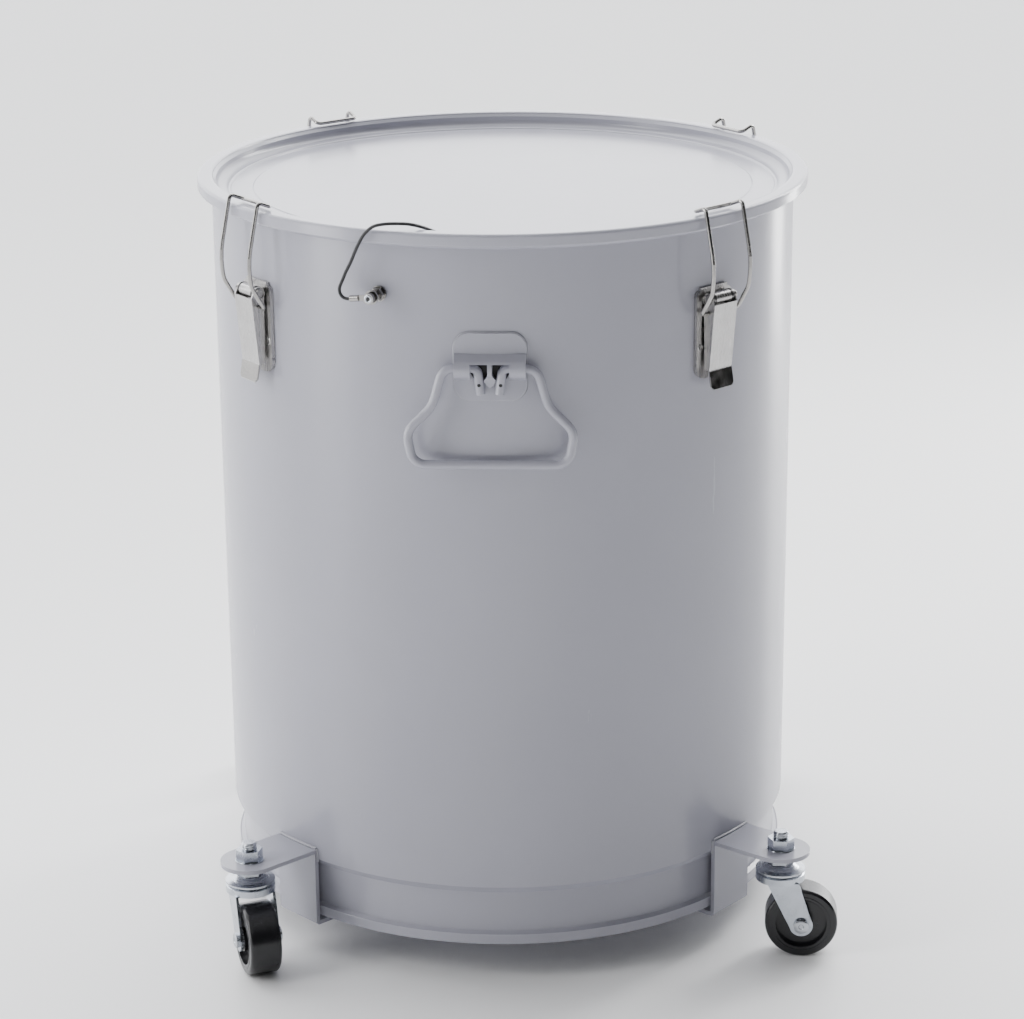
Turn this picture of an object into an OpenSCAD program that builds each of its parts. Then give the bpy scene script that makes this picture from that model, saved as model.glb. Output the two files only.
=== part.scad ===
/* [Part] */
// Which node to draw

/* [Drum] */
// Outer radius of the drum wall
wall_r = 200; // [150:300]
// Sheet thickness of the drum wall
sheet = 1.5; // [0.8:0.1:3]
// Height of the lid's crown above the floor
crown_z = 522; // [400:900]
// Height of the drum's lower edge above the floor
chime_z = 27; // [20:60]
// Outer radius of the lower seam ring
chime_r = 198; // [150:300]
// Outer radius of the narrowed foot of the drum
foot_r = 194.5; // [150:300]
// Height at which the narrowed foot starts to widen
foot_top = 64; // [50:120]

/* [Lid] */
// Outer radius of the lid's rim
rim_r = 209.5; // [160:310]
// Inner radius of the flat part of the rim
rim_in_r = 199.2; // [150:300]
// Radius of the sunk panel
panel_r = 196.5; // [140:290]
// Depth of the sunk panel below the crown
panel_depth = 10; // [4:30]
// Height of the rim's skirt
skirt_h = 7.5; // [4:20]

/* [Latches] */
// Azimuths of the latches, from the front towards the right
latch_az = [-53.5, 42.5, 125.5, -142.5];
// Diameter of the latch wire
wire_d = 2.8; // [2:0.1:4]
// Distance between the two legs of the wire
wire_gap = 34; // [25:45]
// Outside width of the lever
lever_w = 21; // [15:30]

/* [Handles] */
// Azimuths of the drop handles
handle_az = [-2.6, 177.4];
// Rod diameter
rod_d = 6; // [4:10]
// Width of the welded plate
ear_w = 46; // [30:60]
// Height of the welded plate
ear_h = 44; // [30:60]

/* [Casters] */
// Azimuths of the caster brackets
caster_az = [-47.2, 50.5, 129.5, -132.8];
// Directions in which the wheels trail, from the front towards the right
trail_az = [19, 85, 230, 205];
// Wheel diameter
wheel_d = 50; // [40:80]
// Wheel width
wheel_w = 22; // [15:30]
// Distance from the swivel axis to the axle
trail = 15; // [8:30]
// Distance from the drum axis to the swivel axis
stem_r = 242.5; // [220:300]

/* [Tether] */
// Azimuth of the tether's stud on the drum
stud_az = -23.3; // [-90:90]
// Cord diameter
cord_d = 2.2; // [2:0.1:5]

/* [Hidden] */
$fn = 64;
paint = [0.68, 0.69, 0.72];
steel = [0.80, 0.80, 0.80];
zinc = [0.72, 0.75, 0.80];
black = [0.06, 0.06, 0.07];
big = 180;
eps = 0.01;
// latch pivot and wire hole, as distance from the drum axis and height
pivot = [207.2, crown_z - 55.5];
wire_hole = [207.2, crown_z - 64.6];
pin_r = 2;
run = 0.05;
plate_face = wall_r + 2.2;
// handle axis
hinge_r = 205.3;
hinge_z = crown_z - 87.5;
rod_r = rod_d / 2;
// caster heights
axle_z = wheel_d / 2;
flange_z = 74;
plate_t = 3;
leg_r = 198.3;
foot_z = 20;
fork_z = 55.1;
race_z = 61;
collar_z = 66;
stem_top = 90;
// lower seam ring and rolled edge
curl_r = 3.6;
curl_c = [202.6, crown_z - 7.2];
gasket_z = curl_c[1] + curl_r + 0.05;
panel_z = crown_z - panel_depth;
step_r = 171;
edge_z = panel_z - 0.5;
lid_t = 1.2;
// tether: the cord's route, from the stud's eye over the rim to the lid's eye
cord_pts = [[-97.7, -188.7, 476.9], [-100.2, -187.6, 476.6], [-102.7, -186.6, 477.6], [-104.2, -185.9, 479.9],
  [-104.5, -185.8, 482.8], [-103.5, -186.2, 485.8], [-102, -186.9, 489.2], [-100.1, -187.7, 493.8],
  [-96.9, -189.4, 500.2], [-94, -191, 507.2], [-91, -192.6, 513.8], [-87.2, -194.5, 520.2],
  [-82, -196.4, 524.9], [-75.5, -196.9, 526.6], [-67.5, -195.5, 526.6], [-59, -193.2, 525.6],
  [-51, -190.2, 523], [-44, -185.6, 519.2], [-38, -180.6, 515], [-31.3, -179.1, 513.8]];
stud_z = crown_z - 43;
eye_r = 212;
lid_eye = [-16, -178];

// turns a piece made at the front round to its azimuth
module at(az) rotate([0, 0, az]) children();
// a 2D outline drawn as [distance from axis, height], extruded sideways about the middle
module side(w) rotate([90, 0, -90]) linear_extrude(height = w, center = true) children();
function unit(v) = v / norm(v);
// a path along points, with each inner corner rounded to its radius
function turn(a, b, c) = acos(max(-1, min(1, unit(b - a) * unit(c - b))));
function arc(a, b, c, rad) = let (u = unit(b - a), t = turn(a, b, c), m = cross(unit(cross(u, unit(c - b))), u),
  o = b - u * rad * tan(t / 2) + m * rad, n = max(3, ceil(t / 12)))
  [for (k = [0 : n]) o - m * rad * cos(t * k / n) + u * rad * sin(t * k / n)];
function path(p, rads) = [p[0], for (i = [1 : len(p) - 2]) each arc(p[i - 1], p[i], p[i + 1], rads[i]), p[len(p) - 1]];
// a closed tube of m sides along a path, its rings carried along without twist
function tangent(p, i) = unit(p[min(i + 1, len(p) - 1)] - p[max(i - 1, 0)]);
function carry(p, i, u) = i == len(p) ? [] : let (t = tangent(p, i), w = unit(u - (u * t) * t))
  concat([w], carry(p, i + 1, w));
module tube(p, r, m, start) {
  n = len(p);
  ups = carry(p, 0, start);
  rings = [for (i = [0 : n - 1]) let (v = cross(tangent(p, i), ups[i]))
    for (k = [0 : m - 1]) p[i] + r * (ups[i] * cos(k * 360 / m) + v * sin(k * 360 / m))];
  faces = concat([[for (k = [m - 1 : -1 : 0]) k]], [[for (k = [0 : m - 1]) (n - 1) * m + k]],
    [for (i = [0 : n - 2], k = [0 : m - 1]) [i * m + k, i * m + (k + 1) % m, (i + 1) * m + (k + 1) % m]],
    [for (i = [0 : n - 2], k = [0 : m - 1]) [i * m + k, (i + 1) * m + (k + 1) % m, (i + 1) * m + k]]);
  polyhedron(points = rings, faces = [for (f = faces) [for (k = [len(f) - 1 : -1 : 0]) f[k]]]);
}
// a round journal across the front, on both sides of the middle
module journals(r, radius, z, from, to) for (s = [-1, 1])
  translate([s * (from + to) / 2, -radius, z]) rotate([0, 90, 0]) cylinder(r = r, h = to - from, center = true);

module drum_shell() color(paint) {
  top = curl_c[1];
  difference() {
    rotate_extrude($fn = big) polygon([
      [chime_r, chime_z], [chime_r, chime_z + 6.5], [foot_r, chime_z + 8.5], [foot_r, foot_top],
      [wall_r, foot_top + 6], [wall_r, top], [wall_r - sheet, top],
      [wall_r - sheet, foot_top + 6.5], [foot_r - sheet, foot_top + 0.5],
      [foot_r - sheet, chime_z + 8], [chime_r - sheet, chime_z + 6], [chime_r - sheet, chime_z]]);
    stud_at(wall_r - 8) cylinder(r = 2.5, h = 16);
  }
  rotate_extrude($fn = big) translate(curl_c) difference() {
    circle(r = curl_r, $fn = 32);
    circle(r = curl_r - 1.4, $fn = 32);
  }
}
module drum_bottom() color(paint) rotate_extrude($fn = big) polygon([
  [0, 39.5], [foot_r - sheet, 39.5], [foot_r - sheet, chime_z + 1],
  [foot_r - 2 * sheet, chime_z + 1], [foot_r - 2 * sheet, 38], [0, 38]]);
module lid() color(paint) rotate_extrude($fn = big)
  polygon(concat(
    [[0, panel_z], [step_r, panel_z], [step_r + 1, edge_z], [panel_r, edge_z], [panel_r + 0.5, crown_z - 3], [rim_in_r - 0.4, crown_z - 1.2],
      [rim_in_r, crown_z - 0.4], [rim_in_r + 1.4, crown_z]],
    [for (a = [90:-15:0]) [rim_r - 2.2 + 2.2 * cos(a), crown_z - 2.2 + 2.2 * sin(a)]],
    [[rim_r, crown_z - skirt_h], [rim_r - lid_t, crown_z - skirt_h]],
    [for (a = [0:15:90]) [rim_r - 2.2 + (2.2 - lid_t) * cos(a), crown_z - 2.2 + (2.2 - lid_t) * sin(a)]],
    [[rim_in_r + 1.2, crown_z - lid_t], [panel_r + 1.7, crown_z - 3.4], [panel_r + lid_t, edge_z - lid_t],
      [step_r + 0.6, edge_z - lid_t], [step_r - 0.4, panel_z - lid_t], [0, panel_z - lid_t]]));
module lid_gasket() color(black) rotate_extrude($fn = big)
  translate([201, gasket_z]) square([4.4, crown_z - lid_t - gasket_z]);

// drop handle: a welded plate with a raised tunnel, and the bent rod
module rounded(w, h, r) {
  square([w - 2 * r, h], center = true);
  square([w, h - 2 * r], center = true);
  for (x = [-1, 1], y = [-1, 1]) translate([x * (w / 2 - r), y * (h / 2 - r)]) circle(r = r);
}
module handle_ear() color(paint) difference() {
  union() {
    intersection() {
      translate([0, 0, hinge_z - 40]) cylinder(r = wall_r + 2, h = 80, $fn = big);
      translate([0, -wall_r + 10, hinge_z]) rotate([90, 0, 0]) linear_extrude(height = 40) rounded(ear_w, ear_h, 10);
    }
    translate([0, -hinge_r, hinge_z]) rotate([0, 90, 0]) cylinder(r = 6.2, h = ear_w, center = true);
    side(ear_w) polygon([[wall_r - 3, hinge_z + 8.6], [wall_r + 2, hinge_z + 8.6],
      [hinge_r + 3, hinge_z + 5.42], [hinge_r + 3, hinge_z - 5.42], [wall_r + 2, hinge_z - 8.6], [wall_r - 3, hinge_z - 8.6]]);
  }
  translate([0, 0, hinge_z - 60]) cylinder(r = wall_r, h = 120, $fn = big);
  translate([0, -hinge_r, hinge_z]) rotate([0, 90, 0]) cylinder(r = rod_r + run, h = ear_w + 2, center = true);
  for (s = [-1, 1]) translate([s * 7 - 5.6, -hinge_r - 12, hinge_z - 12]) cube([11.2, 15.05, 15.6]);
}
function xz(x, z) = [x, -hinge_r, hinge_z + z];
module handle_rod() color(paint) {
  p = [xz(6, -17), xz(8, 0), xz(30, 0), xz(37, -25), xz(54, -42), xz(50, -64),
    xz(-50, -64), xz(-54, -42), xz(-37, -25), xz(-30, 0), xz(-8, 0), xz(-6, -17)];
  tube(path(p, [0, 4, 9, 22, 12, 10, 10, 12, 22, 9, 4, 0]), rod_r - 0.02, 16, [0, 1, 0]);
  journals(rod_r, hinge_r, hinge_z, 12.4, 22.8);
}

// toggle latch: base plate with a rolled knuckle, pin, lever and wire bail
module latch_base() color(steel) {
  difference() {
    union() {
      intersection() {
        translate([0, 0, crown_z - 130]) cylinder(r = 260, h = 100);
        translate([0, -wall_r + 6, 0]) rotate([90, 0, 0]) linear_extrude(height = 6 + plate_face - wall_r) {
          translate([0, crown_z - 76.5]) square([32, 44], center = true);
          translate([0, crown_z - 52.5]) square([24, 8], center = true);
          for (x = [-12, 12]) translate([x, crown_z - 54.5]) circle(r = 4);
          translate([0, crown_z - 98.5]) square([16, 22], center = true);
          for (x = [-8, 8]) translate([x, crown_z - 101.5]) circle(r = 8);
        }
      }
      translate([0, -pivot[0], pivot[1]]) rotate([0, 90, 0]) cylinder(r = 4.3, h = 17.6, center = true);
      side(17.6) polygon([[wall_r, pivot[1] + 3.2], [pivot[0] - 2.8, pivot[1] + 3.2], [pivot[0] - 4.2, pivot[1] - 0.6],
        [wall_r, pivot[1] - 0.6]]);
    }
    translate([0, 0, crown_z - 140]) cylinder(r = wall_r + 0.01, h = 120, $fn = big);
    translate([0, -pivot[0], pivot[1]]) rotate([0, 90, 0]) cylinder(r = pin_r, h = 30, center = true);
    translate([0, -wall_r + 6, crown_z - 104]) rotate([90, 0, 0]) cylinder(r = 2.2, h = 20);
  }
}
module latch_pin() translate([0, -pivot[0], pivot[1]]) rotate([0, 90, 0]) {
  cylinder(r = pin_r, h = 22.6, center = true);
  for (s = [-1, 1]) translate([0, 0, s * 11.4]) cylinder(r = 3.4, h = 1.4, center = true);
}
module latch_pins() color(steel) for (a = latch_az) at(a) latch_pin();
module lever_outline() {
  polygon([[203.2, crown_z - 58], [203.4, crown_z - 68], [204.2, crown_z - 103], [208.6, crown_z - 103],
    [212.9, crown_z - 58.5], [211.0, crown_z - 54.5], [207.2, crown_z - 51.3]]);
  translate(pivot) circle(r = 4.2);
}
module latch_lever() color(steel) difference() {
  union() {
    for (s = [-1, 1]) translate([s * (lever_w / 2 - 0.6), 0, 0]) side(1.2) lever_outline();
    side(lever_w) polygon([[212.9, crown_z - 58.5], [208.6, crown_z - 103], [211.2, crown_z - 115.5],
      [210.2, crown_z - 116.1], [207.4, crown_z - 103.2], [211.7, crown_z - 58.6]]);
  }
  translate([0, -pivot[0], pivot[1]]) rotate([0, 90, 0]) cylinder(r = pin_r + run, h = 40, center = true);
  translate([0, -wire_hole[0], wire_hole[1]]) rotate([0, 90, 0]) cylinder(r = wire_d / 2 + run, h = 40, center = true);
  for (s = [-1, 1]) translate([s * 10.5, -209, crown_z - 116.5]) rotate([90, 45, 0]) cube([4.4, 4.4, 20], center = true);
}
function wire_at(x, r, z) = [x, -r, crown_z + z];
module latch_bail() color(steel) {
  g = wire_gap / 2;
  h = wire_hole[0];
  k = wire_hole[1] - crown_z;
  p = [wire_at(-8.6, h, k), wire_at(-g, h, k), wire_at(-g, 216.6, -49), wire_at(-g, 218.5, -33),
    wire_at(-g, 209.6, 6.2), wire_at(-g, 199.5, 2.15), wire_at(g, 199.5, 2.15), wire_at(g, 209.6, 6.2),
    wire_at(g, 218.5, -33), wire_at(g, 216.6, -49), wire_at(g, h, k), wire_at(8.6, h, k)];
  tube(path(p, [0, 2.2, 14, 60, 2.6, 3.2, 3.2, 2.6, 60, 14, 2.2, 0]), wire_d / 2 - 0.02, 10, [0, 0, 1]);
  journals(wire_d / 2, wire_hole[0], wire_hole[1], 8.3, 11.6);
}

// caster: folded bracket, threaded stem with its race, fork, axle and wheel
module caster_bracket() color(paint) difference() {
  union() {
    side(40) polygon([[leg_r, foot_z + 3.0], [leg_r, flange_z + plate_t - 2], [leg_r + 2, flange_z + plate_t],
      [stem_r, flange_z + plate_t], [stem_r, flange_z], [leg_r + plate_t, flange_z], [leg_r + plate_t, foot_z + 2],
      [leg_r + plate_t - 2, foot_z], [178, foot_z], [178, foot_z + 3.0]]);
    translate([0, -stem_r, flange_z]) cylinder(r = 20, h = plate_t);
  }
  translate([0, 0, foot_top + 3]) cylinder(r = wall_r, h = 40, $fn = big);
  translate([0, -stem_r, flange_z - 5]) cylinder(r = 5, h = 20);
}
module caster_stem() translate([0, -stem_r, 0]) {
  rotate_extrude() polygon([[0, 52.4], [7.2, 52.4], [8, 53.4], [8, 54.9], [5, 54.9], [5, race_z - 0.2], [12, race_z - 0.2],
    [14.5, race_z], [17, race_z + 0.6], [17, race_z + 1.9], [13, race_z + 2.6], [9.2, collar_z + 0.5],
    [5, collar_z + 0.5], [5, stem_top - 1], [4.2, stem_top], [0, stem_top]]);
  translate([0, 0, collar_z]) cylinder(r = 16 / 2 / cos(30), h = flange_z - collar_z, $fn = 6);
}
module caster_stems() color(zinc) for (a = caster_az) at(a) caster_stem();
module caster_nuts() color(zinc) for (a = caster_az) at(a) translate([0, -stem_r, flange_z + plate_t]) difference() {
  cylinder(r = 16 / 2 / cos(30), h = 8, $fn = 6);
  translate([0, 0, -1]) cylinder(r = 5, h = 20);
}
// stands a caster's swivelling pieces on its swivel axis, trailing its own way
module swivel(i) at(caster_az[i]) translate([0, -stem_r, 0]) rotate([0, 0, trail_az[i] - caster_az[i]]) children();
module caster_fork(i) color(zinc) swivel(i) difference() {
  union() {
    rotate_extrude() polygon([[5 + run, fork_z], [17, fork_z], [17, fork_z + 4.6], [15.6, fork_z + 5.4],
      [12.2, fork_z + 5.4], [10.8, fork_z + 2.4], [5 + run, fork_z + 2.4]]);
    for (s = [-1, 1]) translate([s * (wheel_w / 2 + 2), 0, 0]) side(2) {
      polygon([[-9, fork_z + 1], [13, fork_z + 1], [trail + 7.4, axle_z + 2], [trail + 4, axle_z - 7], [trail - 6, axle_z - 5.5]]);
      translate([trail, axle_z]) circle(r = 8);
    }
  }
  translate([0, -trail, axle_z]) rotate([0, 90, 0]) cylinder(r = 3, h = 60, center = true);
}
module caster_axle(i) color(zinc) swivel(i) translate([0, -trail, axle_z]) rotate([0, 90, 0]) {
  cylinder(r = 3, h = wheel_w + 7.2, center = true);
  for (s = [-1, 1]) translate([0, 0, s * (wheel_w / 2 + 4.0)]) cylinder(r = 5.2, h = 2, center = true);
}
module caster_wheel(i) color(black) swivel(i) translate([0, -trail, axle_z]) rotate([0, 90, 0]) rotate_extrude($fn = 96) {
  h = wheel_w / 2;
  r = wheel_d / 2;
  difference() {
    union() {
      translate([5, -h + 2.5]) square([r - 5, wheel_w - 5]);
      translate([5, -h]) square([r - 7.5, wheel_w]);
      for (s = [-1, 1]) translate([r - 2.5, s * (h - 2.5)]) circle(r = 2.5);
    }
    for (s = [-1, 1]) translate([8.2, s * (h - 1.5) - 2.5]) square([9.4, 5]);
  }
}
module wheel_bush(i) color(steel) swivel(i) translate([0, -trail, axle_z]) rotate([0, 90, 0]) difference() {
  cylinder(r = 5, h = wheel_w + 1, center = true);
  cylinder(r = 3 + run, h = wheel_w + 4, center = true);
}

// tether: stud on the wall, washers, two eyes, the cord and the lid's screw
module stud_at(r) at(stud_az) translate([0, -r, stud_z]) rotate([90, 0, 0]) children();
module tether_stud() color(steel) {
  stud_at(wall_r - sheet - 2) cylinder(r = 2.5, h = 19.5);
  stud_at(214) cylinder(r = 3.6, h = 3.2);
  stud_at(wall_r - sheet - 0.1) mirror([0, 0, 1]) cylinder(r = 4.6, h = 3.6, $fn = 6);
}
module tether_washers() color(steel) {
  stud_at(wall_r + 0.3) difference() {
    cylinder(r = 5.2, h = 1.2);
    translate([0, 0, -1]) cylinder(r = 2.5, h = 9);
  }
  stud_at(wall_r + 1.5) difference() {
    cylinder(r = 4.6, h = 4, $fn = 6);
    translate([0, 0, -1]) cylinder(r = 2.5, h = 9);
  }
}
module eye(r) {
  difference() {
    union() {
      cylinder(r = 4.6, h = 1.2, center = true);
      translate([-9, -1.8, -0.6]) cube([6, 3.6, 1.2]);
    }
    cylinder(r = 2.5, h = 5, center = true);
  }
  translate([-9, 0, 0]) rotate([0, -90, 0]) cylinder(r = r, h = 6);
}
module tether_eye_drum() color(steel) at(stud_az) translate([0, -eye_r, stud_z]) rotate([90, -8, 0]) eye(2.1);
module tether_eye_lid() color(steel) translate([lid_eye[0], lid_eye[1], edge_z + 2.2]) rotate([0, 0, 4]) eye(2.1);
module tether_screw_lid() color(steel) translate([lid_eye[0], lid_eye[1], edge_z]) {
  cylinder(r = 2.5, h = 3.4);
  cylinder(r = 4, h = 1.6);
  translate([0, 0, 2.8]) cylinder(r = 4, h = 1.8);
}
// smooth curve through the route's points
function spline(p, i, t) = let (a = p[max(i - 1, 0)], b = p[i], c = p[i + 1], d = p[min(i + 2, len(p) - 1)])
  0.5 * (2 * b + (c - a) * t + (2 * a - 5 * b + 4 * c - d) * t * t + (3 * b - a - 3 * c + d) * t * t * t);
function smooth(p, n) = [for (i = [0 : len(p) - 2], j = [0 : n - 1]) spline(p, i, j / n), p[len(p) - 1]];
module tether_cord() color(black) tube(smooth(cord_pts, 2), cord_d / 2, 8, [1, 0, 0]);

drum_shell();
drum_bottom();
lid();
lid_gasket();
at(handle_az[0]) handle_ear();  // handle_ear_front
at(handle_az[1]) handle_ear();  // handle_ear_rear
at(handle_az[0]) handle_rod();  // handle_rod_front
at(handle_az[1]) handle_rod();  // handle_rod_rear
at(latch_az[0]) latch_base();  // latch_base_1
at(latch_az[1]) latch_base();  // latch_base_2
at(latch_az[2]) latch_base();  // latch_base_3
at(latch_az[3]) latch_base();  // latch_base_4
latch_pins();
at(latch_az[0]) latch_lever();  // latch_lever_1
at(latch_az[1]) latch_lever();  // latch_lever_2
at(latch_az[2]) latch_lever();  // latch_lever_3
at(latch_az[3]) latch_lever();  // latch_lever_4
at(latch_az[0]) latch_bail();  // latch_bail_1
at(latch_az[1]) latch_bail();  // latch_bail_2
at(latch_az[2]) latch_bail();  // latch_bail_3
at(latch_az[3]) latch_bail();  // latch_bail_4
at(caster_az[0]) caster_bracket();  // caster_bracket_1
at(caster_az[1]) caster_bracket();  // caster_bracket_2
at(caster_az[2]) caster_bracket();  // caster_bracket_3
at(caster_az[3]) caster_bracket();  // caster_bracket_4
caster_stems();
caster_nuts();
caster_fork(0);  // caster_fork_1
caster_fork(1);  // caster_fork_2
caster_fork(2);  // caster_fork_3
caster_fork(3);  // caster_fork_4
caster_axle(0);  // caster_axle_1
caster_axle(1);  // caster_axle_2
caster_axle(2);  // caster_axle_3
caster_axle(3);  // caster_axle_4
caster_wheel(0);  // caster_wheel_1
caster_wheel(1);  // caster_wheel_2
caster_wheel(2);  // caster_wheel_3
caster_wheel(3);  // caster_wheel_4
wheel_bush(0);  // wheel_bush_1
wheel_bush(1);  // wheel_bush_2
wheel_bush(2);  // wheel_bush_3
wheel_bush(3);  // wheel_bush_4
tether_stud();
tether_washers();
tether_eye_drum();
tether_cord();
tether_eye_lid();
tether_screw_lid();
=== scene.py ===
"""Steel oil drum: looks, small fittings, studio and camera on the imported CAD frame.

Metres, +Z up, the front at -Y.
"""
import math

import bmesh
import bpy
from mathutils import Matrix, Vector, noise


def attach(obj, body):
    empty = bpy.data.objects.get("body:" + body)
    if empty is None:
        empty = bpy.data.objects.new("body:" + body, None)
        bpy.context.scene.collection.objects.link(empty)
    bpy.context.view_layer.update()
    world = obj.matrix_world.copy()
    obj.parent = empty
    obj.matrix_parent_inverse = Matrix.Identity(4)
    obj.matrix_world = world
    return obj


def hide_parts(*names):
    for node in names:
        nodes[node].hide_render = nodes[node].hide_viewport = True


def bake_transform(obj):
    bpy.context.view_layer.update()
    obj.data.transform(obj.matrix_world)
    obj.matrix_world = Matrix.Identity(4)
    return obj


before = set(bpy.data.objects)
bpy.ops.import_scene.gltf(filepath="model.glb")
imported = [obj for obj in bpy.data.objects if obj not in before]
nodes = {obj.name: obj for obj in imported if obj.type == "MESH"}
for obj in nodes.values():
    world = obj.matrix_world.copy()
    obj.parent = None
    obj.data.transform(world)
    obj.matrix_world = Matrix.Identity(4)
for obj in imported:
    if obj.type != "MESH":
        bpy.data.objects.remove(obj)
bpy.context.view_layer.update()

# driving dimensions, as in the CAD: azimuths in degrees from the front, (radius, height) for HINGE and PIVOT,
# and (azimuth, radius, height) for STUD
WALL_R = 0.200
CROWN = 0.522
CHIME = 0.027
FOOT_TOP = 0.064
LATCHES = [-53.5, 42.5, 125.5, -142.5]
HANDLES = {"front": -2.6, "rear": 177.4}
CASTERS = [-47.2, 50.5, 129.5, -132.8]
TRAILS = [19, 85, 230, 205]
STEM_R = 0.2425
TRAIL = 0.015
HINGE = (0.2053, CROWN - 0.0875)
PIVOT = (0.2072, CROWN - 0.0555)
PANEL = CROWN - 0.010
WHEEL_R = 0.025
FLANGE_TOP = 0.077
STUD = (-23.3, 0.2172, CROWN - 0.043)
CORD_D = 0.0022
# the tether's route, from the stud's eye over the rim to the lid's eye
CORD_ROUTE = [
    (-0.0977, -0.1887, 0.4769), (-0.1002, -0.1876, 0.4766), (-0.1027, -0.1866, 0.4776),
    (-0.1042, -0.1859, 0.4799), (-0.1045, -0.1858, 0.4828), (-0.1035, -0.1862, 0.4858),
    (-0.102, -0.1869, 0.4892), (-0.1001, -0.1877, 0.4938), (-0.0969, -0.1894, 0.5002),
    (-0.094, -0.191, 0.5072), (-0.091, -0.1926, 0.5138), (-0.0872, -0.1945, 0.5202),
    (-0.082, -0.1964, 0.5249), (-0.0755, -0.1969, 0.5266), (-0.0675, -0.1955, 0.5266),
    (-0.059, -0.1932, 0.5256), (-0.051, -0.1902, 0.523), (-0.044, -0.1856, 0.5192),
    (-0.038, -0.1806, 0.515), (-0.0313, -0.1791, 0.5138),
]

SIDES = ((-1, "left"), (1, "right"))
# turns a lathe's upward axis to point outward at the front
OUTWARD = Matrix.Rotation(math.pi / 2, 4, "X")


def place(azimuth, radius=0.0, height=0.0):
    """The matrix from a front-facing local frame (x sideways, -y outward) to its azimuth on the drum."""
    turn = Matrix.Rotation(math.radians(azimuth), 4, "Z")
    return turn @ Matrix.Translation((0, -radius, height))


# ---------------------------------------------------------------- camera
def make_camera():
    """The photograph's view: 19 degrees above the horizon, a long lens, the frame shifted up a little."""
    data = bpy.data.cameras.new("photo_camera")
    data.sensor_width = 36
    data.lens = 109.1
    data.shift_x = 0.0054
    data.shift_y = 0.0666
    cam = bpy.data.objects.new("photo_camera", data)
    distance, tilt, roll = 2.235, math.radians(19.25), math.radians(-0.55)
    target = Vector((0, 0, CROWN - 0.300))
    cam.location = target + distance * Vector((0, -math.cos(tilt), math.sin(tilt)))
    right = Vector((1, 0, 0))
    ahead = (target - cam.location).normalized()
    up = right.cross(ahead)
    r = math.cos(roll) * right + math.sin(roll) * up
    u = -math.sin(roll) * right + math.cos(roll) * up
    turn = Matrix((r, u, -ahead)).transposed().to_4x4()
    cam.matrix_world = Matrix.Translation(cam.location) @ turn
    bpy.context.scene.collection.objects.link(cam)
    bpy.context.scene.camera = cam


# ---------------------------------------------------------------- geometry helpers
def circle(radius, steps, height=0.0):
    """Points round the local Z axis at a height."""
    angles = [2 * math.pi * k / steps for k in range(steps)]
    return [Vector((radius * math.cos(a), radius * math.sin(a), height)) for a in angles]


def side_circle(radius, steps, x):
    """Points round the local X axis at x."""
    return [Vector((x, p.x, p.y)) for p in circle(radius, steps)]


def finish_mesh(name, bm, material, body, smooth=True, angle=40):
    """Turns bm into an object with its material that rides on a CAD body."""
    bmesh.ops.recalc_face_normals(bm, faces=bm.faces)
    mesh = bpy.data.meshes.new(name)
    bm.to_mesh(mesh)
    bm.free()
    obj = bpy.data.objects.new(name, mesh)
    bpy.context.scene.collection.objects.link(obj)
    mesh.materials.append(material)
    if smooth:
        for p in mesh.polygons:
            p.use_smooth = True
        mesh.set_sharp_from_angle(angle=math.radians(angle))
    if body:
        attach(obj, body)
    return obj


def sweep(bm, path, radius, sides, closed=False):
    """A tube along path in bm. radius is a number or a function of the ring's index."""
    n = len(path)
    spokes = [(math.cos(2 * math.pi * k / sides), math.sin(2 * math.pi * k / sides)) for k in range(sides)]
    rings = []
    up = None
    for i, p in enumerate(path):
        a = path[(i - 1) % n] if closed or i else path[0]
        b = path[(i + 1) % n] if closed or i < n - 1 else path[-1]
        t = (Vector(b) - Vector(a)).normalized()
        up = (up or t.orthogonal()).normalized()
        up = (up - t * up.dot(t)).normalized()
        side = t.cross(up)
        r = radius(i) if callable(radius) else radius
        rings.append([bm.verts.new(Vector(p) + r * (up * c + side * s)) for c, s in spokes])
    for i in range(n if closed else n - 1):
        a, b = rings[i], rings[(i + 1) % n]
        for k in range(sides):
            bm.faces.new((a[k], a[(k + 1) % sides], b[(k + 1) % sides], b[k]))
    if not closed:
        bm.faces.new(list(reversed(rings[0])))
        bm.faces.new(rings[-1])


def lathe(bm, profile, matrix, steps=48):
    """A turned shape in bm: profile is (radius, height) from end to end, and radius 0 closes an end."""
    rings = []
    for r, z in profile:
        if r < 1e-6:
            rings.append([bm.verts.new(matrix @ Vector((0, 0, z)))])
        else:
            rings.append([bm.verts.new(matrix @ p) for p in circle(r, steps, z)])
    for a, b in zip(rings, rings[1:]):
        for k in range(steps):
            j = (k + 1) % steps
            if len(a) == 1:
                bm.faces.new((a[0], b[k], b[j]))
            elif len(b) == 1:
                bm.faces.new((a[k], a[j], b[0]))
            else:
                bm.faces.new((a[k], a[j], b[j], b[k]))


def skin(bm, rows):
    """A thin sheet through rows of points in bm. The rows are equally long."""
    made = [[bm.verts.new(p) for p in row] for row in rows]
    for a, b in zip(made, made[1:]):
        for k in range(len(a) - 1):
            bm.faces.new((a[k], a[k + 1], b[k + 1], b[k]))


def turned(name, profile, matrix, steps, material, body, angle=40):
    """A turned piece of its own."""
    bm = bmesh.new()
    lathe(bm, profile, matrix, steps)
    return finish_mesh(name, bm, material, body, angle=angle)


def hoops(name, loops, sides, material, body):
    """A piece made of closed tubes, each given as its path and radius."""
    bm = bmesh.new()
    for path, radius in loops:
        sweep(bm, path, radius, sides, True)
    return finish_mesh(name, bm, material, body)


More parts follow.
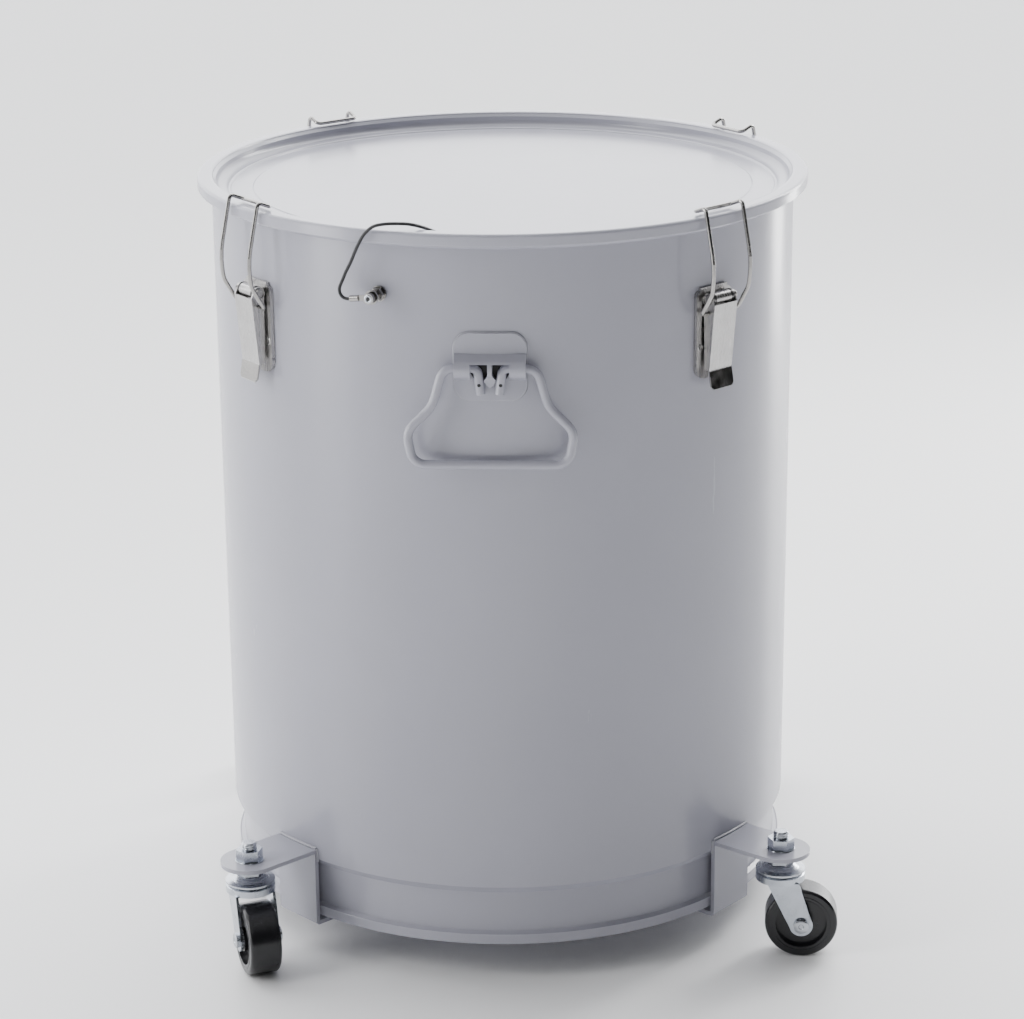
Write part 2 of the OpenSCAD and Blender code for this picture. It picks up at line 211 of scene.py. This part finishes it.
def smooth_route(points, each):
    """A Catmull-Rom curve through points, each span cut into equal steps."""
    pts = [Vector(p) for p in points]
    out = []
    for i in range(len(pts) - 1):
        a, b = pts[max(i - 1, 0)], pts[i]
        c, d = pts[i + 1], pts[min(i + 2, len(pts) - 1)]
        for j in range(each):
            t = j / each
            square = (2 * a - 5 * b + 4 * c - d) * t * t
            cube = (3 * b - a - 3 * c + d) * t ** 3
            out.append(0.5 * (2 * b + (c - a) * t + square + cube))
    return out + [pts[-1]]


# ---------------------------------------------------------------- materials
class Look:
    """A small builder for procedural node materials in object space."""

    def __init__(self, name):
        self.material = bpy.data.materials.new(name)
        self.material.use_nodes = True
        self.tree = self.material.node_tree
        self.bsdf = self.tree.nodes["Principled BSDF"]
        self.place = self.node("ShaderNodeTexCoord").outputs["Object"]
        self.height = None

    def node(self, kind, **values):
        made = self.tree.nodes.new(kind)
        for key, value in values.items():
            if key in made.inputs:
                made.inputs[key].default_value = value
            else:
                setattr(made, key, value)
        return made

    def link(self, a, b):
        self.tree.links.new(a, b)
        return b

    def set(self, **values):
        for key, value in values.items():
            self.bsdf.inputs[key.replace("_", " ")].default_value = value

    def scaled(self, scale):
        m = self.node("ShaderNodeMapping")
        m.inputs["Scale"].default_value = scale
        self.link(self.place, m.inputs["Vector"])
        return m.outputs["Vector"]

    def noise(self, scale, detail=3.0, stretch=(1, 1, 1), rough=0.5):
        n = self.node("ShaderNodeTexNoise", Scale=scale, Detail=detail, Roughness=rough)
        self.link(self.scaled(stretch), n.inputs["Vector"])
        return n.outputs["Fac"]

    def ramp(self, value, low, high, start=0.0, end=1.0):
        """value from start..end mapped to low..high."""
        m = self.node("ShaderNodeMapRange")
        m.inputs["From Min"].default_value = start
        m.inputs["From Max"].default_value = end
        m.inputs["To Min"].default_value = low
        m.inputs["To Max"].default_value = high
        self.link(value, m.inputs["Value"])
        return m.outputs["Result"]

    def mix(self, factor, a, b):
        m = self.node("ShaderNodeMix", data_type="RGBA")
        for socket, v in ((m.inputs[6], a), (m.inputs[7], b)):
            if isinstance(v, tuple):
                socket.default_value = (*v, 1)
            else:
                self.link(v, socket)
        self.link(factor, m.inputs[0])
        return m.outputs[2]

    def bump(self, value, strength, distance):
        b = self.node("ShaderNodeBump", Strength=strength, Distance=distance)
        self.link(value, b.inputs["Height"])
        if self.height:
            self.link(self.height, b.inputs["Normal"])
        self.height = b.outputs["Normal"]
        self.link(self.height, self.bsdf.inputs["Normal"])

    def edges(self, radius):
        """Near 1 on convex edges, from the difference between a rounded and a plain normal."""
        bevel = self.node("ShaderNodeBevel", samples=4, Radius=radius)
        geometry = self.node("ShaderNodeNewGeometry")
        dot = self.node("ShaderNodeVectorMath", operation="DOT_PRODUCT")
        self.link(bevel.outputs["Normal"], dot.inputs[0])
        self.link(geometry.outputs["Normal"], dot.inputs[1])
        return self.ramp(dot.outputs["Value"], 1.0, 0.0, 0.80, 0.985)


def paint(name, colour, rough=0.24):
    """Semi-gloss stoved paint: orange peel, a faint mottle, fine rubs and a painted highlight that makes
    convex edges slightly lighter.
    """
    look = Look(name)
    mottle = look.noise(9.0, 4.0)
    rubs = look.noise(60.0, 6.0, (1, 1, 0.12), 0.65)
    dark = tuple(c * 0.965 for c in colour)
    body = look.mix(look.ramp(mottle, 0, 1, 0.35, 0.65), colour, dark)
    # convex edges a little lighter than the paint: a painted edge highlight
    edge_highlight = tuple(min(1, c * 1.16) for c in colour)
    look.link(look.mix(look.edges(0.0008), body, edge_highlight), look.bsdf.inputs["Base Color"])
    look.link(look.ramp(rubs, rough - 0.02, rough + 0.04, 0.3, 0.75), look.bsdf.inputs["Roughness"])
    look.bump(look.noise(420.0, 2.0), 0.055, 0.0006)
    look.bump(look.noise(3.0, 1.0, (1, 1, 0.5)), 0.03, 0.004)
    look.set(Metallic=0.0, Coat_Weight=0.15, Coat_Roughness=0.10, IOR=1.5)
    return look.material


def metal(name, colour, rough, brushed=None, grain=900.0):
    """Bare or plated metal: brushing along one axis or a fine plated mottle, with smudges."""
    look = Look(name)
    smudge = look.noise(120.0, 4.0)
    tint = tuple(c * 0.90 for c in colour)
    body = look.mix(look.ramp(smudge, 0, 1, 0.35, 0.7), colour, tint)
    look.link(body, look.bsdf.inputs["Base Color"])
    if brushed:
        lines = look.noise(grain, 5.0, brushed, 0.6)
        look.bump(lines, 0.16, 0.0002)
        look.link(look.ramp(lines, rough - 0.06, rough + 0.12, 0.3, 0.7), look.bsdf.inputs["Roughness"])
        look.set(Metallic=1.0, Anisotropic=0.4)
    else:
        look.bump(look.noise(700.0, 3.0), 0.05, 0.0003)
        look.link(look.ramp(smudge, rough - 0.05, rough + 0.10, 0.3, 0.7), look.bsdf.inputs["Roughness"])
        look.set(Metallic=1.0)
    return look.material


def plastic(name, colour, rough, peel=300.0, strength=0.06):
    """Moulded plastic or rubber: a dusty mottle, soft scuffs and a fine skin."""
    look = Look(name)
    dust = look.noise(90.0, 5.0)
    dusty = tuple(c + 0.006 for c in colour)
    look.link(look.mix(look.ramp(dust, 0, 1, 0.5, 0.8), colour, dusty), look.bsdf.inputs["Base Color"])
    scuffs = look.noise(60.0, 3.0)
    look.link(look.ramp(scuffs, rough - 0.02, rough + 0.05, 0.3, 0.75), look.bsdf.inputs["Roughness"])
    look.bump(look.noise(peel, 3.0), strength, 0.0004)
    look.set(Metallic=0.0, IOR=1.5)
    return look.material


def twisted_cord(name):
    """Black coated cord whose strands show as fine slanting ridges."""
    look = Look(name)
    wave = look.node("ShaderNodeTexWave", Scale=420.0, Distortion=0.6, Detail=1.0)
    wave.bands_direction = "DIAGONAL"
    look.link(look.place, wave.inputs["Vector"])
    ridges = look.mix(wave.outputs["Fac"], (0.006, 0.006, 0.007), (0.018, 0.018, 0.02))
    look.link(ridges, look.bsdf.inputs["Base Color"])
    look.bump(wave.outputs["Fac"], 0.5, 0.0004)
    look.set(Roughness=0.38)
    return look.material


def floor_look():
    """A pale matt floor with a faint mottle."""
    look = Look("studio_floor")
    mottle = look.mix(look.noise(2.0, 2.0), (0.90, 0.90, 0.90), (0.93, 0.93, 0.93))
    look.link(mottle, look.bsdf.inputs["Base Color"])
    look.set(Roughness=0.45)
    return look.material


make_camera()

CORD = twisted_cord("tether_coat")
PAINT = paint("grey_paint", (0.355, 0.355, 0.41))
# a lighter copy of the wall's grey paint: painted light on the lid
PAINT_PANEL = paint("grey_paint_lit_lid", (0.40, 0.40, 0.46), 0.22)
WELD = paint("grey_paint_weld", (0.345, 0.345, 0.39), 0.34)
STAINLESS = metal("stainless_brushed", (0.47, 0.46, 0.455), 0.26, (1, 1, 0.03))
WIRE = metal("stainless_wire", (0.36, 0.35, 0.34), 0.17, (1, 1, 0.2), 1500.0)
ZINC = metal("zinc_plate", (0.50, 0.53, 0.58), 0.22)
TURNED = metal("zinc_turned", (0.50, 0.52, 0.56), 0.22, (0.05, 0.05, 1), 1400.0)
# near-black stand-in for the shade inside holes, grooves, hollows and dimples: painted shade
SHADOW = plastic("painted_recess_shade", (0.012, 0.012, 0.013), 0.6)
RUBBER = plastic("black_rubber", (0.022, 0.022, 0.024), 0.55)
WHEEL = plastic("black_wheel", (0.010, 0.010, 0.012), 0.24, 500.0, 0.02)
# darker than the lever's stainless: painted dark reflection on the polished lip
LIP = metal("lever_lip", (0.30, 0.29, 0.28), 0.12)


# ---------------------------------------------------------------- the tether
def make_tether():
    """A coated cord swept along the route from the stud's eye over the rim to the lid's eye, in place of the
    CAD's cord, which is hidden.
    """
    route = smooth_route(CORD_ROUTE, 8)
    bm = bmesh.new()
    sweep(bm, route, CORD_D / 2, 14)
    cord = finish_mesh("tether_cord_coated", bm, CORD, None)
    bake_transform(cord)
    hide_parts("tether_cord")


make_tether()


# ---------------------------------------------------------------- finishes on the CAD nodes
# the first row whose start fits a node's name gives its finish and the width of its rounding
FINISHES = (
    (("latch_base", "latch_lever"), STAINLESS, 0.0003),
    (("latch_bail", "latch_pins", "tether_stud", "tether_washers", "tether_eye", "tether_screw"), WIRE, 0),
    ("caster_wheel", WHEEL, 0),
    (("caster_fork", "caster_nuts"), ZINC, 0.0003),
    (("caster_stems", "caster_axle", "wheel_bush"), TURNED, 0),
    ("lid_gasket", RUBBER, 0),
    ("tether_cord", CORD, 0),
    ("lid", PAINT_PANEL, 0),
    ("caster_bracket", PAINT, 0.0005),
    ("", PAINT, 0),
)


def dress():
    """A finish on every CAD node, and a small rounding on the folded and flat pieces."""
    for name, obj in nodes.items():
        look, width = next((look, width) for start, look, width in FINISHES if name.startswith(start))
        obj.data.materials.clear()
        obj.data.materials.append(look)
        if width:
            bevel = obj.modifiers.new("rounding", "BEVEL")
            bevel.width = width
            bevel.segments = 2
            bevel.limit_method = "ANGLE"
            bevel.angle_limit = math.radians(50)
            bevel.harden_normals = True


dress()


# ---------------------------------------------------------------- detail pieces
def weld_bead(name, path, radius, body, seed, closed=False):
    """A hand-laid weld: a tube whose thickness ripples bead by bead, painted over."""
    bm = bmesh.new()

    def ripple(i):
        rough = noise.noise(Vector((i * 0.37, seed, 0)))
        return radius * (0.82 + 0.22 * abs(math.sin(i * 0.9)) + 0.12 * rough)

    sweep(bm, path, ripple, 10, closed)
    return finish_mesh(name, bm, WELD, body, angle=80)


def on_wall(x, z, stand_off):
    """The local point at x and z that stands off the drum's round wall."""
    return Vector((x, -math.sqrt((WALL_R + stand_off) ** 2 - x * x), z))


def bracket_welds():
    """Fillets along the top and both sides of each bracket's leg."""
    half, leg_half, leg_face = 0.0195, 0.0200, 0.1990
    start, drop, bead = FLANGE_TOP + 0.0005, 0.0095, 0.0011
    for n, az in enumerate(CASTERS, 1):
        m = place(az)
        top = [m @ on_wall(-half + 2 * half * i / 40, FLANGE_TOP + 0.0006, 0.0004) for i in range(41)]
        weld_bead(f"bracket_weld_top_{n}", top, bead, "drum", n)
        for s, label in SIDES:
            side = [m @ Vector((s * leg_half, -leg_face, start - drop * i / 16)) for i in range(17)]
            weld_bead(f"bracket_weld_{label}_{n}", side, bead, "drum", n + 9 * s)


def handle_weld(label, m):
    """A bead round the handle plate's rounded outline."""
    w, h, r = 0.0232, 0.0222, 0.010
    corners = ((w - r, h - r, 0), (-w + r, h - r, 90), (-w + r, -h + r, 180), (w - r, -h + r, 270))
    loop = []
    for cx, cz, start in corners:
        for k in range(12):
            a = math.radians(start + 90 * k / 11)
            loop.append(m @ on_wall(cx + r * math.cos(a), HINGE[1] + cz + r * math.sin(a), 0.0006))
    weld_bead(f"handle_weld_{label}", loop, 0.0008, "drum", 3, True)


def stub_holes(label, m):
    """A small drilled hole with a raised burr in the front of each rod stub, drawn as a near-black disc of
    painted shade.
    """
    profile = [(0, 0.0002), (0.0005, 0.00024), (0.0008, 0.00026), (0.0011, 0.00018), (0.0012, -0.0001)]
    for s, side in SIDES:
        spot = m @ Matrix.Translation((s * 0.0069, -HINGE[0] - 0.00285, HINGE[1] - 0.0105)) @ OUTWARD
        turned(f"stub_hole_{label}_{side}", profile, spot, 20, SHADOW, f"handle_{label}")


def tunnel_hollow_shade(label, m):
    """A near-black sheet of painted shade for the tunnel's hollow behind its two windows, each narrowed at
    the foot.
    """
    face, bulge = 0.20240, 0.0001
    windows = ((-0.0098, 0.0045, 0.0088), (-0.0070, 0.0028, 0.0108), (-0.0040, 0.0015, 0.0125),
               (-0.0010, 0.0015, 0.0125), (0.0025, 0.0015, 0.0125), (0.0034, 0.0015, 0.0125))
    bm = bmesh.new()
    for s, _ in SIDES:
        rows = []
        for z, near, far in windows:
            steps = [(s * (near + (far - near) * k / 4), math.sin(math.pi * k / 4)) for k in range(5)]
            rows.append([m @ Vector((x, -face - bulge * out, HINGE[1] + z)) for x, out in steps])
        skin(bm, rows)
    finish_mesh(f"tunnel_hollow_shade_{label}", bm, SHADOW, "drum")


def tunnel_tongue(label, m):
    """The tongue between the windows, which widens into a diamond and runs back to the plate."""
    top, root, lean = 0.2086, 0.2021, 0.42
    half = [(0.0013, -0.0030), (0.0015, -0.0052), (0.0036, -0.0070), (0.0036, -0.0092), (0.0016, -0.0114),
            (0.0014, -0.0128)]
    outline = half + [(-x, z) for x, z in reversed(half)]
    bm = bmesh.new()
    front = [bm.verts.new(m @ Vector((x, -top + (-0.003 - z) * lean, HINGE[1] + z))) for x, z in outline]
    back = [bm.verts.new(m @ Vector((x, -root, HINGE[1] + z))) for x, z in outline]
    bm.faces.new(front)
    bm.faces.new(list(reversed(back)))
    for k in range(len(outline)):
        j = (k + 1) % len(outline)
        bm.faces.new((front[k], back[k], back[j], front[j]))
    rim = [e for e in bm.edges if all(v in front for v in e.verts)]
    bmesh.ops.bevel(bm, geom=rim, offset=0.0004, segments=2, affect="EDGES")
    finish_mesh(f"tunnel_tongue_{label}", bm, PAINT, "drum", angle=50)


def handle_details():
    for label, az in HANDLES.items():
        m = place(az)
        handle_weld(label, m)
        stub_holes(label, m)
        tunnel_hollow_shade(label, m)
        tunnel_tongue(label, m)


def latch_sides(n, az):
    """A swaged ring round each end of the pin, and a spot weld on each side of the base plate."""
    out = 0.0125
    weld = [(0, 0.00005), (0.0012, 0.0001), (0.0019, 0.00035), (0.0024, 0.0001), (0.0026, -0.0001)]
    m = place(az, *PIVOT)
    for s, side in SIDES:
        ring = [m @ p for p in side_circle(0.0030, 24, s * out)]
        hoops(f"pin_ring_{n}_{side}", [(ring, 0.0003)], 8, WIRE, "drum")
        spot = place(az) @ Matrix.Translation((s * out, -0.2022, CROWN - 0.088)) @ OUTWARD
        turned(f"spot_weld_{n}_{side}", weld, spot, 24, STAINLESS, "drum")


def lever_lip(n, az):
    """The polished lip at the lever's end, leaning out with it; its metal is darker than the lever's steel, a
    painted dark reflection.
    """
    outline = ((-0.1036, 0.01035), (-0.1065, 0.01035), (-0.110, 0.01035), (-0.1132, 0.0103),
               (-0.1152, 0.0083))
    rows = []
    for z, half in outline:
        out = 0.20872 + (-0.103 - z) * 0.208
        rows.append([place(az) @ Vector((x * half, -out, CROWN + z)) for x in (-1, -0.5, 0, 0.5, 1)])
    bm = bmesh.new()
    skin(bm, rows)
    finish_mesh(f"lever_lip_{n}", bm, LIP, f"latch_lever_{n}")


def knuckle_grooves(n, az):
    """Two grooves round each end of the knuckle, where the pin's spring sits, drawn as thin near-black rings
    of painted shade.
    """
    m = place(az, *PIVOT)
    for s, side in SIDES:
        loops = [([m @ p for p in side_circle(0.00432, 32, s * x)], 0.00022) for x in (0.0074, 0.0082)]
        hoops(f"knuckle_groove_{n}_{side}", loops, 6, SHADOW, "drum")


def latch_details():
    for n, az in enumerate(LATCHES, 1):
        latch_sides(n, az)
        lever_lip(n, az)
        knuckle_grooves(n, az)


def stem_details(n, centre):
    """The thread above the nut and the washer face under it."""
    pitch, turns, steps = 0.0012, 3, 28
    thread_r, start = 0.0050, 0.0853
    helix = []
    for i in range(turns * steps + 1):
        a = 2 * math.pi * i / steps
        point = Vector((thread_r * math.cos(a), thread_r * math.sin(a), start + pitch * i / steps))
        helix.append(centre + point)
    bm = bmesh.new()
    sweep(bm, helix, 0.00032, 8)
    finish_mesh(f"stem_thread_{n}", bm, TURNED, "drum")
    face = [(0.0052, 0.0001), (0.0096, 0.0001), (0.0098, 0.0003), (0.0096, 0.0006), (0.0052, 0.0006)]
    raised = [(r, FLANGE_TOP + z) for r, z in face]
    turned(f"nut_face_{n}", raised, Matrix.Translation(centre), 48, ZINC, "drum")


def race_balls(n, centre):
    """The balls in the swivel's open race."""
    bm = bmesh.new()
    for p in circle(0.0137, 16, 0.0602):
        bmesh.ops.create_icosphere(bm, subdivisions=2, radius=0.0013, matrix=Matrix.Translation(centre + p))
    finish_mesh(f"race_balls_{n}", bm, TURNED, f"caster_{n}")


def wheel_sides(n, hub):
    """On each side a swaged rivet head round a dimple, and the wheel's raised rim, inner and hub rings."""
    rivet = [(0, 0.0158), (0.0013, 0.0159), (0.0019, 0.0166), (0.0034, 0.0167), (0.0046, 0.0163),
             (0.0052, 0.0160)]
    rings = ((0.0200, 0.01085, 0.00035), (0.0180, 0.0108, 0.0003), (0.0078, 0.0106, 0.0004))
    for s, side in SIDES:
        face = hub @ Matrix.Scale(s, 4, (0, 0, 1))
        turned(f"rivet_head_{n}_{side}", rivet, face, 32, TURNED, f"caster_{n}")
        loops = [([face @ p for p in circle(r, 64, z)], t) for r, z, t in rings]
        hoops(f"wheel_face_{n}_{side}", loops, 8, WHEEL, f"wheel_{n}")


def caster_details():
    for n, (az, trail) in enumerate(zip(CASTERS, TRAILS), 1):
        centre = place(az, STEM_R).translation
        stem_details(n, centre)
        race_balls(n, centre)
        swivel = Matrix.Translation(centre) @ Matrix.Rotation(math.radians(trail), 4, "Z")
        hub = swivel @ Matrix.Translation((0, -TRAIL, WHEEL_R)) @ Matrix.Rotation(math.pi / 2, 4, "Y")
        wheel_sides(n, hub)


def drum_details():
    """The long seam up the back of the wall, and the folds of the seam ring at the foot."""
    az, r = math.radians(165), WALL_R + 0.0001
    low, high = FOOT_TOP + 0.010, CROWN - 0.016
    seam = [Vector((r * math.sin(az), -r * math.cos(az), low + (high - low) * i / 160)) for i in range(161)]
    weld_bead("wall_seam", seam, 0.0007, "drum", 5)
    folds = [(circle(0.1977, 240, CHIME + 0.0068), 0.0004), (circle(0.1976, 240, CHIME + 0.0012), 0.0004)]
    hoops("chime_folds", folds, 8, PAINT, "drum")


def lid_details():
    """The soft corner from the lid's wall to its panel, which ends in a low bead, and the skirt's hem."""
    edge = PANEL - 0.0005
    profile = [(0.19705, 0.0054), (0.19640, 0.0034), (0.19520, 0.0020), (0.19350, 0.0011), (0.19130, 0.0006),
               (0.18960, 0.0005), (0.18880, 0.0008), (0.18810, 0.0011), (0.18740, 0.0010), (0.18680, 0.0005),
               (0.18630, -0.0001)]
    corner = [(r, edge + h) for r, h in profile]
    turned("lid_corner", corner, Matrix.Identity(4), 240, PAINT_PANEL, "lid", angle=80)
    hoops("lid_hem", [(circle(0.2087, 240, CROWN - 0.0074), 0.0007)], 10, PAINT_PANEL, "lid")


def stud_details():
    """The stud's turned face: a ring round a dimple, which is a near-black cap of painted shade."""
    m = place(*STUD) @ OUTWARD
    ring = [(0.0014, 0.00002), (0.0017, 0.0002), (0.0024, 0.0002), (0.0028, 0.00002), (0.0029, -0.0001)]
    turned("stud_ring", ring, m, 32, TURNED, "drum")
    dimple = [(0, 0.00004), (0.0007, 0.00006), (0.0013, 0.00012), (0.0015, -0.00005)]
    turned("stud_dimple_shade", dimple, m, 24, SHADOW, "drum")


bracket_welds()
stud_details()
handle_details()
latch_details()
caster_details()
drum_details()
lid_details()


# ---------------------------------------------------------------- studio
def surround():
    """The studio's surround: bright behind, softer overhead and at the left, and dim in front."""
    world = bpy.data.worlds.new("studio")
    world.use_nodes = True
    tree = world.node_tree
    direction = tree.nodes.new("ShaderNodeTexCoord")
    axes = tree.nodes.new("ShaderNodeSeparateXYZ")
    tree.links.new(direction.outputs["Generated"], axes.inputs["Vector"])

    def band(socket, start, end, low, high):
        m = tree.nodes.new("ShaderNodeMapRange")
        m.interpolation_type = "SMOOTHSTEP"
        for key, value in (("From Min", start), ("From Max", end), ("To Min", low), ("To Max", high)):
            m.inputs[key].default_value = value
        tree.links.new(axes.outputs[socket], m.inputs["Value"])
        return m.outputs["Result"]

    def maths(kind, a, b):
        m = tree.nodes.new("ShaderNodeMath")
        m.operation = kind
        tree.links.new(a, m.inputs[0])
        tree.links.new(b, m.inputs[1])
        return m.outputs["Value"]

    back = maths("MULTIPLY", band("Y", 0.0, 0.35, 0.0, 4.5), band("X", 0.45, 0.75, 1.0, 0.12))
    sky = band("Z", 0.55, 0.95, 0.0, 0.6)
    left = band("X", -0.55, -0.90, 0.0, 0.8)
    front = band("X", -0.3, 0.3, 0.14, 0.02)
    level = maths("MAXIMUM", maths("MAXIMUM", back, sky), maths("MAXIMUM", left, front))
    tree.links.new(level, tree.nodes["Background"].inputs["Strength"])
    tree.nodes["Background"].inputs["Color"].default_value = (0.97, 0.98, 1.0, 1)
    bpy.context.scene.world = world


def studio():
    """A pale floor, the surround, a tall strip at each side, a wide lamp above and a small one in front."""
    bm = bmesh.new()
    bmesh.ops.create_grid(bm, x_segments=8, y_segments=8, size=12.0)
    floor = finish_mesh("studio_floor", bm, floor_look(), None, smooth=False)
    surround()
    for name, at, aim, size, power in (
        ("strip_left", (-1.7, -0.7, 0.9), (0, 0, 0.3), (0.6, 2.0), 24),
        ("strip_right", (1.25, 1.15, 0.8), (0, 0, 0.3), (0.35, 2.0), 34),
        ("top", (-0.3, 0.6, 2.4), (0, 0, 0.5), (2.0, 1.6), 9),
        ("glints", (0.3, -2.2, 2.0), (0, 0, 0.4), (0.3, 0.3), 1.5),
    ):
        data = bpy.data.lights.new(name, "AREA")
        data.shape = "RECTANGLE"
        data.size, data.size_y = size
        data.energy = power
        light = bpy.data.objects.new(name, data)
        light.location = at
        light.rotation_euler = (Vector(aim) - Vector(at)).to_track_quat("-Z", "Y").to_euler()
        bpy.context.scene.collection.objects.link(light)


studio()
